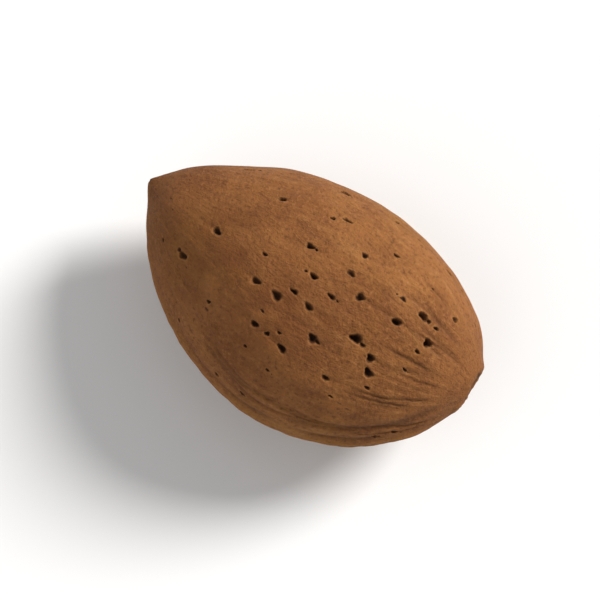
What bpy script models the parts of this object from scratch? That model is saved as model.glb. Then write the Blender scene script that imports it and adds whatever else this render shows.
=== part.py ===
"""An almond in its shell, lying on its broad face. Metres, +Z up.

The pointed tip is at -X, the stem end at +X, the keel (the raised seam) along the fuller edge at -Y.
The nut is drawn as a ball whose poles are its two ends: the polar angle runs along the nut and the angle
round the poles runs round its sections, so one set of formulas gives the whole closed surface.
"""

import math

import bmesh
import bpy
from mathutils import Vector

LENGTH = 0.0346            # from the tip's point to the stem end, before the stem scar sinks in
WIDTH = 0.0215             # across the widest section, without the two seams
THICKNESS = 0.01635        # through the widest section, before the flat spot is worn

TIP_FULLNESS = 0.71        # 1 is a round end, 0.5 a cone
BASE_FULLNESS = 0.98       # 1 is a round end, and more is blunter
KEEL_SIDE_SHARE = 0.575    # how much of the width lies on the keel's side of the tip
KEEL_PINCH = 0.13          # how far the keel's half of a section leans from an ellipse towards a lens

TIP_NIB_LENGTH = 0.0014
TIP_NIB_NARROWING = 0.28

KEEL_HEIGHT = 0.00050
KEEL_HALF_WIDTH = 0.0012
BACK_SEAM_HEIGHT = 0.00022
BACK_SEAM_HALF_WIDTH = 0.0009

SCAR_RADIUS = 0.0020
SCAR_DEPTH = 0.0005

FLAT_SPOT_DEPTH = 0.00030  # how much of the lowest bulge is worn flat

SHELL_BROWN = (0.27, 0.105, 0.028, 1.0)

QUADS_ALONG = 28
QUADS_ACROSS = 18
QUADS_THROUGH = 14


def bell(distance, reach):
    """1 at no distance, falling smoothly to about a third at reach."""
    return math.exp(-((distance / reach) ** 2))


def box_of_quads():
    """A closed box from -1 to 1 on each axis, cut into quads that are square once it is nut-shaped."""
    box = bmesh.new()
    bmesh.ops.create_cube(box, size=2.0)
    for axis, count in enumerate((QUADS_ALONG, QUADS_ACROSS, QUADS_THROUGH)):
        uncut = [e for e in box.edges if abs(e.verts[0].co[axis] - e.verts[1].co[axis]) > 1.0]
        bmesh.ops.subdivide_edges(box, edges=uncut, cuts=count - 1)
    return box


def on_ball(point):
    """The place on the unit ball for a point on the box, with the quads kept about even."""
    return Vector([math.tan(value * math.pi / 4) for value in point]).normalized()


def on_nut(ball):
    """The place on the shell, before it is centred, for a place on the unit ball."""
    share = (1 + ball.x) / 2
    tip_part = share ** TIP_FULLNESS
    base_part = (1 - share) ** BASE_FULLNESS
    along = tip_part / (tip_part + base_part)
    from_tip = along * LENGTH

    girth = math.sqrt(max(0.0, 1 - ball.x ** 2))
    if girth < 1e-9:
        return Vector((from_tip, 0.0, 0.0))
    towards_back = ball.y / girth
    upwards = ball.z / girth
    girth *= 1 - TIP_NIB_NARROWING * bell(from_tip, TIP_NIB_LENGTH)

    middle = (0.5 - KEEL_SIDE_SHARE) * WIDTH * girth
    across = middle + 0.5 * WIDTH * girth * towards_back
    height = 0.5 * THICKNESS * girth * upwards

    body = min(1.0, girth * 2)
    if towards_back < 0:
        height *= 1 - KEEL_PINCH * towards_back ** 2
        across -= KEEL_HEIGHT * body * bell(height, KEEL_HALF_WIDTH)
    else:
        across += BACK_SEAM_HEIGHT * body * bell(height, BACK_SEAM_HALF_WIDTH)
    return Vector((from_tip, across, height))


def press_stem_scar(points):
    """The round dent that the stem leaves in the blunt end."""
    end = max(points, key=lambda point: point.x).copy()
    for point in points:
        away = math.hypot(point.y - end.y, point.z - end.z)
        if point.x > LENGTH / 2:
            point.x -= SCAR_DEPTH * bell(away, SCAR_RADIUS)


def almond_mesh():
    box = box_of_quads()
    points = [on_nut(on_ball(vertex.co)) for vertex in box.verts]
    press_stem_scar(points)

    floor = min(point.z for point in points) + FLAT_SPOT_DEPTH
    middle_x = (min(p.x for p in points) + max(p.x for p in points)) / 2
    middle_y = (min(p.y for p in points) + max(p.y for p in points)) / 2
    for vertex, point in zip(box.verts, points):
        vertex.co = (point.x - middle_x, point.y - middle_y, max(point.z, floor) - floor)
    bmesh.ops.recalc_face_normals(box, faces=box.faces)

    mesh = bpy.data.meshes.new("almond_in_shell")
    box.to_mesh(mesh)
    box.free()
    mesh.shade_smooth()
    return mesh


def shell_material():
    material = bpy.data.materials.new("almond_shell")
    material.use_nodes = True
    surface = material.node_tree.nodes["Principled BSDF"]
    surface.inputs["Base Color"].default_value = SHELL_BROWN
    surface.inputs["Roughness"].default_value = 0.75
    surface.inputs["Metallic"].default_value = 0.0
    return material


def main():
    for old in list(bpy.data.objects):
        bpy.data.objects.remove(old)
    almond = bpy.data.objects.new("almond_in_shell", almond_mesh())
    almond.data.materials.append(shell_material())
    bpy.context.scene.collection.objects.link(almond)


main()
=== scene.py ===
import math
import random
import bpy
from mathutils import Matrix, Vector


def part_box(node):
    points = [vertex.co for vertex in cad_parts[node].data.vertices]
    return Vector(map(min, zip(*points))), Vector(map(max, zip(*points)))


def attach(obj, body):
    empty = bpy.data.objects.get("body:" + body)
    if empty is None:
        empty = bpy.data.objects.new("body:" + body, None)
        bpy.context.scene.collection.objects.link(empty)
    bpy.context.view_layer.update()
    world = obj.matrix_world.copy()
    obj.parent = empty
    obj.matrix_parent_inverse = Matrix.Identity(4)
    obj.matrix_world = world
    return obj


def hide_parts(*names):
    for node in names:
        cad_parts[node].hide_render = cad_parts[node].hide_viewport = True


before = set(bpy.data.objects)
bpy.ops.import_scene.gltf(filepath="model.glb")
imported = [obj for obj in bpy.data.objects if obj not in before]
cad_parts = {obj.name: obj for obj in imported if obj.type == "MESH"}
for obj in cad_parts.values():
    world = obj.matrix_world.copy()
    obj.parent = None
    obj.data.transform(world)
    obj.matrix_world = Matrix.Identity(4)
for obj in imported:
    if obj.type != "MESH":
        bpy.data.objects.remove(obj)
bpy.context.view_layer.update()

from types import SimpleNamespace

import bmesh
import bpy
import numpy as np
from mathutils import Vector, noise

# ---------------------------------------------------------------- sizes, in metres

MM = 0.001
NODE = "almond_in_shell"
LOW, HIGH = (np.array(corner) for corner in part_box(NODE))
SIZE = HIGH - LOW
LENGTH, WIDTH, THICKNESS = SIZE
SEAM_HEIGHT = THICKNESS / 2

TIP_FULLNESS = 0.71        # 1 is a round end, 0.5 a cone
BASE_FULLNESS = 0.98       # 1 is a round end, and more is blunter
KEEL_SIDE_SHARE = 0.575    # how much of the width lies on the keel's side of the tip
KEEL_PINCH = 0.13          # how far the keel's half of a section leans from an ellipse towards a lens
NIB_LENGTH = 1.4 * MM
NIB_NARROWING = 0.28
FLAT_SPOT_DEPTH = 0.12 * MM

QUADS = (114, 74, 55)      # along, across and through the nut
SEED = 4

# The main pits of the upper face, from the tip to the stem end: share of the length from the tip, share of
# the length from the tip's line towards the keel, radius in mm, and length over width.
MAIN_PITS = (
    (0.20, 0.15, 0.40, 1.3), (0.25, 0.05, 0.40, 1.5), (0.40, 0.10, 0.40, 1.2), (0.45, 0.10, 0.45, 1.4),
    (0.45, -0.05, 0.35, 1.6), (0.45, 0.20, 0.35, 1.4), (0.55, 0.10, 0.40, 1.6), (0.55, 0.20, 0.40, 1.5),
    (0.60, 0.15, 0.45, 1.1), (0.60, -0.05, 0.35, 1.2), (0.60, -0.10, 0.30, 1.3), (0.65, 0.00, 0.40, 1.4),
    (0.70, 0.10, 0.50, 1.2), (0.75, 0.00, 0.40, 1.8), (0.75, 0.10, 0.40, 1.3), (0.75, 0.15, 0.45, 1.2),
    (0.80, -0.05, 0.45, 1.2), (0.85, 0.00, 0.45, 1.1),
)
PIT_WANDER = 0.012         # how far chance moves a main pit, as a share of the length
FINE_PITS = 22             # smaller ones among them
OTHER_PITS = 100
PIT_GAP = 1.4 * MM
FINE_PIT_GAP = 1.0 * MM
FAR_FROM_PITS = 3.0        # in pit radii: the largest value that the pit attribute holds
# A pit's raised rim, the dimple round it and the tail that it trails, all in pit widths.
PIT_RIM = 0.07
PIT_DIMPLE = 0.15
PIT_TAIL = 0.24

# Where painted shade darkens the middle of the upper face: the same two shares, and the reach.
PAINTED_SHADE_SPOTS = ((0.29, 0.09, 5.0 * MM), (0.48, 0.13, 5.0 * MM))

FIBRE_SPAN = (34, 10, 8)   # mm of fibre coordinates along, across and through the nut
STRAND_HEIGHT = 0.045 * MM
FURROWS = 64               # thin creases that gather at the stem scar
FURROW_DEPTH = 0.18 * MM

# The keel: a ridge with two lips on it and a crack between them.
RIDGE_HEIGHT = 0.20 * MM
RIDGE_HALF_WIDTH = 1.1 * MM
LIP_HEIGHT = 0.17 * MM
LIP_HALF_WIDTH = 0.20 * MM
LIP_FROM_CRACK = 0.34 * MM
CRACK_DEPTH = 0.30 * MM
CRACK_HALF_WIDTH = 0.09 * MM

# Grooves that run beside the keel: height above its crack, half width and depth.
KEEL_GROOVES = (
    (1.35 * MM, 0.28 * MM, 0.17 * MM), (-1.20 * MM, 0.26 * MM, 0.15 * MM),
    (2.60 * MM, 0.36 * MM, 0.13 * MM), (-2.40 * MM, 0.34 * MM, 0.12 * MM),
)
# The finer seam along the back: a low ridge with a crease in it.
BACK_RIDGE_HEIGHT = 0.15 * MM
BACK_RIDGE_HALF_WIDTH = 0.8 * MM
BACK_CREASE_DEPTH = 0.11 * MM
BACK_CREASE_HALF_WIDTH = 0.14 * MM

SCAR_REACH = 1.5 * MM
SCAR_DEPTH = 0.45 * MM
SCAR_ROUGHNESS = 0.15 * MM
SCAR_RIM_HEIGHT = 0.10 * MM
SCAR_PORE_DEPTH = 0.30 * MM
# Pores in the stem scar: turn round it, share of the way to its rim, and radius.
SCAR_PORES = (
    (0.4, 0.25, 0.30 * MM), (2.2, 0.50, 0.20 * MM), (3.7, 0.62, 0.15 * MM), (5.2, 0.45, 0.23 * MM),
)


# ---------------------------------------------------------------- helpers for shapes

def bell(distance, reach):
    """1 at no distance, falling smoothly to about a third at reach."""
    return np.exp(-((distance / reach) ** 2))


def rise(low, high, value):
    """0 below low, 1 above high, and a smooth step between."""
    share = np.clip((value - low) / (high - low), 0.0, 1.0)
    return share * share * (3 - 2 * share)


def cloud(points, grain, octaves=2, shift=0.0):
    """Smooth noise of about -1 to 1, with its largest lumps about a grain across."""
    return np.array([noise.fractal(Vector(p), 1.0, 2.0, octaves) for p in points / grain + shift])


# ---------------------------------------------------------------- the bare form

def box_of_quads():
    """A closed box from -1 to 1 on each axis, cut into quads."""
    box = bmesh.new()
    bmesh.ops.create_cube(box, size=2.0)
    for axis, count in enumerate(QUADS):
        uncut = [e for e in box.edges if abs(e.verts[0].co[axis] - e.verts[1].co[axis]) > 1.0]
        bmesh.ops.subdivide_edges(box, edges=uncut, cuts=count - 1)
    return box


def bare_form(points):
    """Where points on the box lie on the bare shell, in metres and as shares of it."""
    ball = np.tan(points * math.pi / 4)
    ball /= np.linalg.norm(ball, axis=1)[:, None]
    share = (1 + ball[:, 0]) / 2
    tip_part = share ** TIP_FULLNESS
    base_part = np.clip(1 - share, 0, 1) ** BASE_FULLNESS
    along = tip_part / (tip_part + base_part)

    girth = np.sqrt(np.clip(1 - ball[:, 0] ** 2, 0, 1))
    back = ball[:, 1] / np.maximum(girth, 1e-9)
    up = ball[:, 2] / np.maximum(girth, 1e-9)
    girth = girth * (1 - NIB_NARROWING * bell(along * LENGTH, NIB_LENGTH))

    across = girth * ((0.5 - KEEL_SIDE_SHARE) + 0.5 * back) * WIDTH
    height = girth * up * 0.5 * THICKNESS * (1 - KEEL_PINCH * np.minimum(back, 0) ** 2)
    place = fitted(np.stack((along * LENGTH, across, height), 1))
    fibre = fibres(place, along, back, up)
    return SimpleNamespace(place=place, along=along, girth=girth, back=back, up=up, fibre=fibre)


def fitted(places):
    """The places stretched a little, so that they fill the node's box."""
    low, high = places.min(0), places.max(0)
    return LOW + (places - low) / (high - low) * SIZE


def fibres(place, along, back, up):
    """Coordinates in mm whose first axis follows the shell's slightly wavering fibres to the stem end."""
    waver = 0.7 * cloud(place, 5 * MM, shift=50.0)
    length, breadth, depth = FIBRE_SPAN
    return np.stack((along * length, back * breadth + waver, up * depth - 0.8 * waver), 1)


# ---------------------------------------------------------------- pits

def pit_at(place, tip, radius, stretch, luck):
    """A pit with its own directions, depth, darkness and ragged outline."""
    outward = (place - (LOW + HIGH) / 2) / SIZE ** 2
    outward /= np.linalg.norm(outward)
    along = (tip - place) - outward * ((tip - place) @ outward)
    along /= np.linalg.norm(along)
    return SimpleNamespace(
        place=place, along=along, across=np.cross(outward, along),
        length=radius * stretch ** 0.6, width=radius / stretch ** 0.4,
        depth=radius * luck.uniform(0.8, 1.6),
        darkness=luck.uniform(0.7, 1.0),
        waves=[(n, luck.uniform(0.06, 0.17), luck.uniform(0, math.tau)) for n in (1, 2, 3)],
        tail=luck.choice((-1, 1)) * luck.uniform(1.4, 2.4),
    )


def on_upper_face(form, share, towards_keel):
    """The place at a share of the length from the tip, and another share from its line to the keel."""
    tip = form.place[form.along.argmin()]
    upper = np.flatnonzero(form.up > 0.2)
    target = np.array((tip[0] + share * LENGTH, tip[1] - towards_keel * LENGTH))
    nearest = np.linalg.norm(form.place[upper, :2] - target, axis=1).argmin()
    return form.place[upper[nearest]]


def scatter_pits(form, pits, count, allowed, gap, radii, luck):
    """Add pits at chance places among the allowed ones, with the gap kept between any two."""
    tip = form.place[form.along.argmin()]
    places = form.place[allowed]
    smallest, largest = radii
    wanted = len(pits) + count
    while len(pits) < wanted:
        place = places[luck.randrange(len(places))]
        if any(np.linalg.norm(place - pit.place) < gap for pit in pits):
            continue
        radius = (smallest + (largest - smallest) * luck.random() ** 1.5) * MM
        pits.append(pit_at(place, tip, radius, luck.uniform(1.0, 2.4), luck))


def lay_out_pits(form):
    """The main pits, fine ones over the crown, others on the rest of the shell, and a twin beside some."""
    tip = form.place[form.along.argmin()]
    luck = random.Random(SEED)
    pits = []
    for share, towards_keel, radius, stretch in MAIN_PITS:
        share += luck.uniform(-PIT_WANDER, PIT_WANDER)
        towards_keel += luck.uniform(-PIT_WANDER, PIT_WANDER)
        place = on_upper_face(form, share, towards_keel)
        pits.append(pit_at(place, tip, radius * MM, stretch, luck))

    crown = (form.up > 0.7) & (form.along > 0.30) & (form.along < 0.88)
    scatter_pits(form, pits, FINE_PITS, crown, FINE_PIT_GAP, (0.17, 0.34), luck)

    upper_face = (form.up > 0.4) & (form.along > 0.14)
    between_seams_and_ends = (np.abs(form.up) > 0.26) & (form.along > 0.12) & (form.along < 0.93)
    elsewhere = between_seams_and_ends & ~upper_face
    scatter_pits(form, pits, OTHER_PITS, elsewhere, PIT_GAP, (0.17, 0.44), luck)

    for pit in pits[::4]:
        beside = pit.place + pit.along * pit.tail * 0.8 * pit.length
        pits.append(pit_at(beside, tip, 0.6 * pit.width, luck.uniform(1.0, 1.8), luck))
    return pits


def sink_pits(place, pits):
    """How far each point sinks, how far it is from a pit's middle in pit radii, and how dark the pit is."""
    sunk = np.zeros(len(place))
    reach = np.full(len(place), FAR_FROM_PITS)
    darkness = np.zeros(len(place))
    ragged = cloud(place, 0.55 * MM)
    rough = cloud(place, 0.22 * MM, shift=60.0)
    for pit in pits:
        offset = place - pit.place
        near = np.flatnonzero(np.linalg.norm(offset, axis=1) < 5 * MM)
        u = offset[near] @ pit.along / pit.length
        v = offset[near] @ pit.across / pit.width
        turn = np.arctan2(v, u)
        outline = 1 + sum(size * np.cos(n * turn + start) for n, size, start in pit.waves)
        away = np.hypot(u, v) / outline * (1 + 0.16 * ragged[near])
        hole = pit.depth * (1 - rise(0.25, 1.08, away)) * (1 + 0.15 * rough[near])
        rim = PIT_RIM * pit.width * bell(away - 1.25, 0.22)
        dimple = PIT_DIMPLE * pit.width * bell(away, 2.0)
        tail = PIT_TAIL * pit.width * bell(v, 0.75) * bell(u - pit.tail, 1.3)
        sunk[near] = np.maximum(sunk[near], hole + dimple + tail - rim)
        closer = away < reach[near]
        reach[near[closer]] = away[closer]
        darkness[near[closer]] = pit.darkness
    return -sunk, reach, darkness


# ---------------------------------------------------------------- seams, furrows and the stem scar

def seams(form):
    """The keel's lips, crack and grooves and the finer seam along the back, with marks for their colours."""
    place = form.place
    run = place * (1, 0, 0)
    height = place[:, 2] - SEAM_HEIGHT
    height = height + 0.16 * MM * cloud(run, 4.0 * MM, shift=9.0)
    away = np.abs(height)
    off_the_scar = 1 - rise(0.93, 0.985, form.along)
    keel_side = rise(0.15, 0.5, -form.back) * off_the_scar
    back_side = rise(0.15, 0.5, form.back) * off_the_scar
    open_here = rise(-0.55, 0.25, cloud(place, 5 * MM, shift=7.0))

    chipped = 1 + 0.35 * cloud(place, 1.3 * MM, shift=2.0)
    ridge = RIDGE_HEIGHT * bell(away, RIDGE_HALF_WIDTH)
    lips = LIP_HEIGHT * bell(away - LIP_FROM_CRACK, LIP_HALF_WIDTH) * chipped
    crack = bell(away, CRACK_HALF_WIDTH) * (0.30 + 0.70 * open_here)
    groove_depth = np.zeros(len(place))
    groove_mark = np.zeros(len(place))
    for number, (offset, reach, depth) in enumerate(KEEL_GROOVES):
        drift = 0.40 * MM * cloud(run, 6 * MM, shift=20.0 + number)
        here = rise(-0.30, 0.35, cloud(place, 6 * MM, shift=17.0 + number))
        here = here * rise(0.15, 0.55, form.along)
        groove = here * bell(height - offset - drift, reach)
        groove_depth = np.maximum(groove_depth, depth * groove)
        groove_mark = np.maximum(groove_mark, groove)
    from_tip = 0.25 + 0.75 * rise(0.0, 0.12, form.along)
    keel = keel_side * from_tip * (ridge + lips - CRACK_DEPTH * crack - groove_depth)

    crease = bell(away, BACK_CREASE_HALF_WIDTH) * rise(-0.4, 0.3, cloud(place, 4 * MM, shift=15.0))
    back_ridge = BACK_RIDGE_HEIGHT * bell(away, BACK_RIDGE_HALF_WIDTH)
    back = back_side * (back_ridge - BACK_CREASE_DEPTH * crease)

    lip_mark = keel_side * bell(away - 0.36 * MM, 0.26 * MM)
    crack_mark = np.maximum(keel_side * crack, 0.5 * back_side * crease)
    return keel + back, lip_mark, crack_mark, keel_side * groove_mark


def lay_out_furrows():
    """Furrows that leave the stem scar and run towards the tip, most of them only part of the way."""
    luck = random.Random(SEED)
    return [SimpleNamespace(
        turn=luck.uniform(0, math.tau),
        start=luck.triangular(0.10, 0.85, 0.70),
        end=luck.uniform(0.90, 0.975),
        half_width=luck.uniform(0.11, 0.26) * MM,
        depth=luck.uniform(0.3, 1.0),
        waves=[(n, luck.uniform(0.01, 0.09) / n, luck.uniform(0, math.tau)) for n in (1, 2, 4)],
    ) for _ in range(FURROWS)]


def furrows(form, lines):
    """How deep each point lies in a furrow, from 0 to 1."""
    turn = np.arctan2(form.up, form.back)
    radius = form.girth * (WIDTH + THICKNESS) / 4
    ragged = 0.10 * MM * cloud(form.place, 1.1 * MM, shift=3.0)
    deepest = np.zeros(len(turn))
    for line in lines:
        drift = sum(size * np.sin(math.tau * n * form.along + start) for n, size, start in line.waves)
        away = (turn - line.turn - drift + math.pi) % math.tau - math.pi
        begun = rise(line.start, line.start + 0.20, form.along)
        ended = rise(line.end - 0.04, line.end, form.along)
        here = begun * (1 - ended)
        deepest = np.maximum(deepest, line.depth * here * bell(away * radius + ragged, line.half_width))
    unbroken = rise(-0.45, 0.15, cloud(form.fibre * (0.35, 1, 1), 2.2, shift=70.0))
    worn_face = rise(0.35, 0.75, form.up) * (1 - rise(0.62, 0.80, form.along))
    return deepest * (0.15 + 0.85 * unbroken) * (1 - 0.65 * worn_face)


def stem_scar(form):
    """The rough dent where the stem was torn off, with its rim and pores, and marks of both."""
    place = form.place
    end = place[form.along.argmax()]
    dy, dz = place[:, 1] - end[1], place[:, 2] - end[2]
    torn = cloud(place, 0.6 * MM, octaves=3, shift=41.0)
    away = np.hypot(dy / 1.25, dz / 0.9) / SCAR_REACH
    away = away * (1 + 0.25 * cloud(place, 1.4 * MM, shift=30.0)) + 0.10 * torn
    at_base = rise(0.80, 0.90, form.along)
    dent = at_base * (1 - rise(0.60, 1.10, away))
    rim = at_base * bell(away - 1.25, 0.25) * (1 + 0.7 * cloud(place, 0.9 * MM))
    pores = np.zeros(len(place))
    for turn, share, radius in SCAR_PORES:
        y, z = share * SCAR_REACH * math.cos(turn), share * SCAR_REACH * math.sin(turn)
        pore = bell(np.hypot(dy - y, dz - z) * (1 + 0.4 * torn), radius)
        pores = np.maximum(pores, at_base * pore)
    torn_rim = SCAR_ROUGHNESS * dent * torn + SCAR_RIM_HEIGHT * rim
    return torn_rim - SCAR_DEPTH * dent - SCAR_PORE_DEPTH * pores, dent, pores


# ---------------------------------------------------------------- the shell's mesh

def refine(box, pits, lines, round_pits, beside_keel, faintest_furrow, stem_end):
    """Halve the quads at the pits, beside the keel's crack, in the stronger furrows and at the stem end."""
    there = bare_form(np.array([face.calc_center_median() for face in box.faces]))
    fine = (np.abs(there.place[:, 2] - SEAM_HEIGHT) < beside_keel) & (there.back < 0)
    fine |= furrows(there, lines) > faintest_furrow
    fine |= (there.along > 0.985) & stem_end
    for pit in pits:
        away = np.linalg.norm(there.place - pit.place, axis=1)
        fine |= away < pit.length + round_pits
    edges = {edge for face, wanted in zip(box.faces, fine) if wanted for edge in face.edges}
    bmesh.ops.subdivide_edges(box, edges=list(edges), cuts=1, use_grid_fill=True)
    bmesh.ops.triangulate(box, faces=[face for face in box.faces if len(face.verts) > 4])


def shell_mesh():
    box = box_of_quads()
    pits = lay_out_pits(bare_form(np.array([vertex.co for vertex in box.verts])))
    lines = lay_out_furrows()
    refine(box, pits, lines, round_pits=0.20 * MM, beside_keel=0.9 * MM, faintest_furrow=0.35, stem_end=True)
    refine(box, pits, lines, round_pits=0.0, beside_keel=0.22 * MM, faintest_furrow=1.0, stem_end=False)
    form = bare_form(np.array([vertex.co for vertex in box.verts]))
    place = form.place
    for vertex, spot in zip(box.verts, place):
        vertex.co = spot
    bmesh.ops.recalc_face_normals(box, faces=box.faces)
    mesh = bpy.data.meshes.new("almond_shell")
    box.to_mesh(mesh)
    box.free()
    mesh.shade_smooth()
    normals = np.empty(len(mesh.vertices) * 3)
    mesh.vertices.foreach_get("normal", normals)
    normals = normals.reshape(-1, 3)

    seam, lip, crack, groove = seams(form)
    furrow = furrows(form, lines)
    pitted, pit_reach, pit_darkness = sink_pits(place, pits)
    scarred, scar, pore = stem_scar(form)
    broad = 0.22 * MM * cloud(place, 9 * MM) + 0.07 * MM * cloud(place, 2.6 * MM, shift=5.0)
    strands = cloud(form.fibre * (0.12, 1, 1), 0.9, shift=21.0)
    strands = strands * (0.5 + 0.5 * rise(0.0, 0.3, form.along))
    fine = seam + pitted + scarred + STRAND_HEIGHT * strands * (1 - scar) - FURROW_DEPTH * furrow

    shaped = fitted(place + normals * (broad + fine)[:, None])
    shaped[:, 2] = rested(shaped[:, 2])
    mesh.vertices.foreach_set("co", shaped.ravel())
    mesh.update()

    marks = {"pit_reach": pit_reach, "pit_darkness": pit_darkness, "furrow": np.maximum(furrow, groove),
             "lip": lip, "crack": crack, "scar": scar, "pore": pore, "strands": strands,
             "along": form.along, "painted_shade": painted_shade_patches(form)}
    for name, values in marks.items():
        layer = mesh.attributes.new(name, "FLOAT", "POINT")
        layer.data.foreach_set("value", values.astype(np.float32))
    layer = mesh.attributes.new("fibre_place", "FLOAT_VECTOR", "POINT")
    layer.data.foreach_set("vector", form.fibre.astype(np.float32).ravel())
    return mesh


def painted_shade_patches(form):
    """How far each point lies in a patch of painted shade, from 0 to 1."""
    painted_shade = np.zeros(len(form.place))
    for share, towards_keel, reach in PAINTED_SHADE_SPOTS:
        away = np.linalg.norm(form.place - on_upper_face(form, share, towards_keel), axis=1)
        painted_shade = np.maximum(painted_shade, bell(away, reach))
    return painted_shade


def rested(heights):
    """Heights with the lowest bulge pressed flat, and everything below the seam eased down to it."""
    pressed = np.maximum(heights, FLAT_SPOT_DEPTH)
    return pressed - FLAT_SPOT_DEPTH * (1 - rise(0, SEAM_HEIGHT, pressed))


# ---------------------------------------------------------------- the finish

TAN = (0.268, 0.102, 0.027)
RUST = (0.168, 0.055, 0.014)
GOLD = (0.280, 0.118, 0.022)
STRAW = (0.415, 0.192, 0.060)
# A dark brown for the sand's darker grains and the torn scar, also used as painted shade in furrows, cracks,
# pits, pinholes and at the scar's wall.
DARK_BROWN_AND_PAINTED_SHADE = (0.082, 0.031, 0.010)
# The darker brown of pit floors and the scar's pores, deepened nearly to black with painted shade.
PIT_BROWN_AND_PAINTED_SHADE = (0.034, 0.012, 0.004)
SCAR_STRAW = (0.260, 0.128, 0.052)

STRAND_RELIEF = 0.09 * MM
NET_RELIEF = 0.03 * MM
SAND_RELIEF = 0.24 * MM
PINHOLE_RELIEF = 0.15 * MM


class Tree:
    """A material's nodes, with one short call for each kind that the shell needs."""

    def __init__(self, name):
        self.material = bpy.data.materials.new(name)
        self.material.use_nodes = True
        self.nodes = self.material.node_tree.nodes
        self.links = self.material.node_tree.links
        self.surface = self.nodes["Principled BSDF"]

    def feed(self, socket, value):
        if isinstance(value, bpy.types.NodeSocket):
            self.links.new(value, socket)
        elif isinstance(value, tuple) and socket.type == "RGBA":
            socket.default_value = (*value, 1.0)
        else:
            socket.default_value = value

    def mark(self, name, output="Fac"):
        node = self.nodes.new("ShaderNodeAttribute")
        node.attribute_name = name
        return node.outputs[output]

    def object_place(self):
        return self.nodes.new("ShaderNodeTexCoord").outputs["Object"]

    def stretched(self, place, scale):
        node = self.nodes.new("ShaderNodeMapping")
        self.links.new(place, node.inputs["Vector"])
        node.inputs["Scale"].default_value = scale
        return node.outputs["Vector"]

    def noise(self, place, scale, detail=3.0, roughness=0.55):
        node = self.nodes.new("ShaderNodeTexNoise")
        self.links.new(place, node.inputs["Vector"])
        node.inputs["Scale"].default_value = scale
        node.inputs["Detail"].default_value = detail
        node.inputs["Roughness"].default_value = roughness
        return node.outputs["Fac"]

    def cells(self, place, scale, feature="F1"):
        node = self.nodes.new("ShaderNodeTexVoronoi")
        node.feature = feature
        self.links.new(place, node.inputs["Vector"])
        node.inputs["Scale"].default_value = scale
        return node

    def remap(self, value, low, high, to_low=0.0, to_high=1.0):
        node = self.nodes.new("ShaderNodeMapRange")
        node.interpolation_type = "SMOOTHSTEP"
        self.feed(node.inputs["Value"], value)
        node.inputs["From Min"].default_value = low
        node.inputs["From Max"].default_value = high
        node.inputs["To Min"].default_value = to_low
        node.inputs["To Max"].default_value = to_high
        return node.outputs["Result"]

    def math(self, operation, a, b):
        node = self.nodes.new("ShaderNodeMath")
        node.operation = operation
        self.feed(node.inputs[0], a)
        self.feed(node.inputs[1], b)
        return node.outputs["Value"]

    def times(self, a, b):
        return self.math("MULTIPLY", a, b)

    def blend(self, factor, a, b):
        node = self.nodes.new("ShaderNodeMix")
        node.data_type = "RGBA"
        colour_sockets = [socket for socket in node.inputs if socket.enabled]
        for socket, value in zip(colour_sockets, (factor, a, b)):
            self.feed(socket, value)
        return next(socket for socket in node.outputs if socket.enabled)

    def bump(self, height, distance, strength=1.0, normal=None):
        node = self.nodes.new("ShaderNodeBump")
        self.feed(node.inputs["Height"], height)
        node.inputs["Distance"].default_value = distance
        node.inputs["Strength"].default_value = strength
        if normal is not None:
            self.feed(node.inputs["Normal"], normal)
        return node.outputs["Normal"]


def ground_colour(tree, place, streaks, sand):
    """Broad patches, streaks along the fibres and a sandy grain, browner towards both ends, with painted
    shade over the middle of the upper face.
    """
    patches = tree.remap(tree.noise(place, 170.0, 4.0, 0.6), 0.38, 0.62, 0.0, 0.65)
    colour = tree.blend(patches, TAN, RUST)
    golden = tree.remap(tree.noise(place, 95.0, 2.0, 0.5), 0.45, 0.65, 0.0, 0.60)
    colour = tree.blend(golden, colour, GOLD)
    colour = tree.blend(tree.remap(streaks, 0.50, 0.76, 0.0, 0.40), colour, STRAW)
    colour = tree.blend(tree.remap(streaks, 0.28, 0.48, 0.45, 0.0), colour, RUST)
    colour = tree.blend(tree.remap(sand, 0.53, 0.68, 0.0, 0.38), colour, STRAW)
    colour = tree.blend(tree.remap(sand, 0.34, 0.47, 0.55, 0.0), colour, DARK_BROWN_AND_PAINTED_SHADE)
    colour = tree.blend(tree.remap(tree.mark("strands"), 0.1, 1.0, 0.0, 0.28), colour, STRAW)

    colour = tree.blend(tree.remap(tree.mark("along"), 0.02, 0.34, 0.38, 0.0), colour, RUST)
    colour = tree.blend(tree.remap(tree.mark("along"), 0.84, 0.97, 0.0, 0.35), colour, RUST)
    # Painted shade: mottled darker patches over the middle of the upper face.
    mottled = tree.remap(tree.noise(place, 330.0, 4.0, 0.6), 0.30, 0.60, 0.35, 0.85)
    return tree.blend(tree.times(tree.mark("painted_shade"), mottled), colour, RUST)


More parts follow.
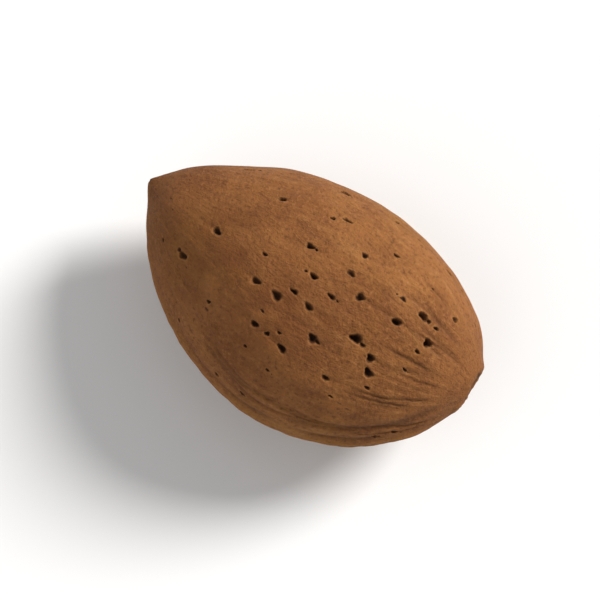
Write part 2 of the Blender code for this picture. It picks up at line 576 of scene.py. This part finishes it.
def colour_seams_and_scar(tree, place, scar, colour):
    """Pale lips, furrows and cracks darkened with painted shade, and the torn wood of the stem scar, with
    painted shade at its wall and in its pores.
    """
    colour = tree.blend(tree.times(tree.mark("lip"), 0.35), colour, STRAW)
    # Painted shade: the furrows and the grooves beside the keel darkened.
    colour = tree.blend(tree.times(tree.mark("furrow"), 0.60), colour, DARK_BROWN_AND_PAINTED_SHADE)
    tufts = tree.remap(tree.noise(place, 1700.0, 4.0, 0.65), 0.38, 0.58)
    torn = tree.blend(tufts, DARK_BROWN_AND_PAINTED_SHADE, SCAR_STRAW)
    colour = tree.blend(tree.times(scar, 0.80), colour, torn)
    # Painted shade: a dark ring on the scar's wall, so that the dent reads as shaded.
    painted_shade_at_scar_wall = tree.times(tree.remap(scar, 0.05, 0.45), tree.remap(scar, 0.45, 0.90, 0.60, 0.0))
    colour = tree.blend(painted_shade_at_scar_wall, colour, DARK_BROWN_AND_PAINTED_SHADE)
    # Painted shade: the scar's pores darkened nearly to black.
    colour = tree.blend(tree.times(tree.mark("pore"), 0.80), colour, PIT_BROWN_AND_PAINTED_SHADE)
    # Painted shade: the keel's crack and the crease along the back darkened.
    return tree.blend(tree.times(tree.mark("crack"), 0.80), colour, DARK_BROWN_AND_PAINTED_SHADE)


def pinholes(tree, fibre):
    """Pinholes of mixed sizes, only in some cells."""
    holes = tree.cells(tree.stretched(fibre, (0.6, 1.0, 1.0)), 0.75)
    size = tree.remap(holes.outputs["Color"], 0.45, 1.0, 0.0, 0.09)
    inside = tree.math("SUBTRACT", size, holes.outputs["Distance"])
    return tree.remap(inside, -0.03, 0.03, 0.0, 0.85)


def colour_pits(tree, place, colour):
    """A worn pale rim, and a wall and floor darkened partly in the pit's own darker brown and partly with
    painted shade, nearly black at the floor, each with a ragged edge.
    """
    ragged = tree.times(tree.math("SUBTRACT", tree.noise(place, 4200.0, 3.0, 0.6), 0.5), 0.9)
    reach = tree.math("ADD", tree.mark("pit_reach"), ragged)
    colour = tree.blend(tree.remap(reach, 1.05, 1.60, 0.18, 0.0), colour, STRAW)
    # The pit's own darker brown, deepened with painted shade on the wall and nearly to black on the floor.
    wall = tree.times(tree.remap(reach, 0.72, 1.08, 1.0, 0.0), tree.mark("pit_darkness"))
    colour = tree.blend(wall, colour, DARK_BROWN_AND_PAINTED_SHADE)
    floor = tree.times(tree.remap(reach, 0.30, 0.85, 1.0, 0.0), tree.mark("pit_darkness"))
    return tree.blend(floor, colour, PIT_BROWN_AND_PAINTED_SHADE)


def fine_relief(tree, fibre, scar, sand, pinhole):
    """Relief too fine for the mesh: strands, a net of cells between them, sand and the pinholes."""
    strands = tree.noise(tree.stretched(fibre, (0.16, 1.0, 1.0)), 4.5, 4.0, 0.6)
    net = tree.cells(tree.stretched(fibre, (0.28, 1.0, 1.0)), 2.3, "DISTANCE_TO_EDGE").outputs["Distance"]
    off_the_scar = tree.remap(scar, 0.0, 1.0, 1.0, 0.0)
    normal = tree.bump(tree.times(strands, off_the_scar), STRAND_RELIEF, 0.8)
    normal = tree.bump(tree.remap(net, 0.0, 0.10), NET_RELIEF, 0.5, normal)
    normal = tree.bump(sand, SAND_RELIEF, 0.9, normal)
    return tree.bump(tree.times(pinhole, -1.0), PINHOLE_RELIEF, 1.0, normal)


def shell_finish():
    tree = Tree("almond_shell")
    place = tree.object_place()
    fibre = tree.mark("fibre_place", "Vector")
    scar = tree.mark("scar")
    streaks = tree.noise(tree.stretched(fibre, (0.14, 1.0, 1.0)), 1.6, 6.0, 0.7)
    sand = tree.noise(place, 2600.0, 4.0, 0.70)
    pinhole = pinholes(tree, fibre)

    colour = ground_colour(tree, place, streaks, sand)
    colour = colour_seams_and_scar(tree, place, scar, colour)
    # Painted shade: the pinholes darkened, standing in for the shade inside them.
    colour = tree.blend(pinhole, colour, DARK_BROWN_AND_PAINTED_SHADE)
    colour = colour_pits(tree, place, colour)
    tree.feed(tree.surface.inputs["Base Color"], colour)

    tree.feed(tree.surface.inputs["Roughness"], tree.remap(streaks, 0.3, 0.7, 0.74, 0.90))
    tree.surface.inputs["Specular IOR Level"].default_value = 0.22
    tree.feed(tree.surface.inputs["Normal"], fine_relief(tree, fibre, scar, sand, pinhole))
    return tree.material


def make_almond():
    almond = bpy.data.objects.new("almond_shell", shell_mesh())
    almond.data.materials.append(shell_finish())
    bpy.context.scene.collection.objects.link(almond)
    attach(almond, "root")
    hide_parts(NODE)


# ---------------------------------------------------------------- floor, light and camera

AZIMUTH, ELEVATION = math.radians(33), math.radians(80)
CAMERA_DISTANCE = 0.265
TARGET = Vector((LOW + HIGH) / 2)
LENS = 180                 # in mm, long enough to keep the nut free of wide-angle stretch
KEY_FROM = Vector((0.46, 0.87, 0.64))
KEY_STRENGTH = 4.2
KEY_SOFTNESS = 22          # in degrees, how wide the lamp looks from the nut
KEY_COLOUR = (1.0, 0.985, 0.965)
FILL_FROM = Vector((-0.45, -0.85, 0.70))
FILL_STRENGTH = 0.60
FILL_SOFTNESS = 70
FILL_COLOUR = (1.0, 1.0, 1.0)
GLOW_STRENGTH = 0.34
WHITE = (1.0, 1.0, 1.0, 1.0)
PALE_GREY = (0.90, 0.90, 0.90, 1.0)
FLOOR_HALF_SIZE = 4.0


def make_floor():
    half = FLOOR_HALF_SIZE
    corners = [(-half, -half, 0), (half, -half, 0), (half, half, 0), (-half, half, 0)]
    mesh = bpy.data.meshes.new("studio_floor")
    mesh.from_pydata(corners, [], [(0, 1, 2, 3)])
    material = bpy.data.materials.new("studio_floor")
    material.use_nodes = True
    surface = material.node_tree.nodes["Principled BSDF"]
    surface.inputs["Base Color"].default_value = PALE_GREY
    surface.inputs["Roughness"].default_value = 0.9
    surface.inputs["Specular IOR Level"].default_value = 0.1
    mesh.materials.append(material)
    floor = bpy.data.objects.new("studio_floor", mesh)
    bpy.context.scene.collection.objects.link(floor)


def look_at(thing, target):
    thing.rotation_euler = (thing.location - target).to_track_quat("Z", "Y").to_euler()


def make_lights():
    """A soft key lamp, a dim fill, and a glow all round that the camera sees as a white backdrop."""
    world = bpy.data.worlds.new("studio")
    world.use_nodes = True
    nodes, links = world.node_tree.nodes, world.node_tree.links
    glow = nodes["Background"]
    glow.inputs["Color"].default_value = WHITE
    glow.inputs["Strength"].default_value = GLOW_STRENGTH
    backdrop = nodes.new("ShaderNodeBackground")
    backdrop.inputs["Color"].default_value = WHITE
    backdrop.inputs["Strength"].default_value = 1.0
    either = nodes.new("ShaderNodeMixShader")
    links.new(nodes.new("ShaderNodeLightPath").outputs["Is Camera Ray"], either.inputs[0])
    links.new(glow.outputs["Background"], either.inputs[1])
    links.new(backdrop.outputs["Background"], either.inputs[2])
    links.new(either.outputs["Shader"], nodes["World Output"].inputs["Surface"])
    bpy.context.scene.world = world

    make_lamp("key_light", KEY_FROM, KEY_STRENGTH, KEY_SOFTNESS, KEY_COLOUR)
    make_lamp("fill_light", FILL_FROM, FILL_STRENGTH, FILL_SOFTNESS, FILL_COLOUR)


def make_lamp(name, direction, strength, softness, colour):
    lamp = bpy.data.lights.new(name, "SUN")
    lamp.energy = strength
    lamp.angle = math.radians(softness)
    lamp.color = colour
    light = bpy.data.objects.new(name, lamp)
    light.location = TARGET + direction
    look_at(light, TARGET)
    bpy.context.scene.collection.objects.link(light)


def make_camera():
    camera = bpy.data.cameras.new("camera")
    camera.lens = LENS
    camera.clip_start = 0.01
    view = bpy.data.objects.new("camera", camera)
    back = Vector((
        math.sin(AZIMUTH) * math.cos(ELEVATION),
        -math.cos(AZIMUTH) * math.cos(ELEVATION),
        math.sin(ELEVATION),
    ))
    view.location = TARGET + back * CAMERA_DISTANCE
    look_at(view, TARGET)
    bpy.context.scene.collection.objects.link(view)
    bpy.context.scene.camera = view


make_camera()
make_almond()
make_floor()
make_lights()
bpy.context.scene.view_settings.view_transform = "Standard"
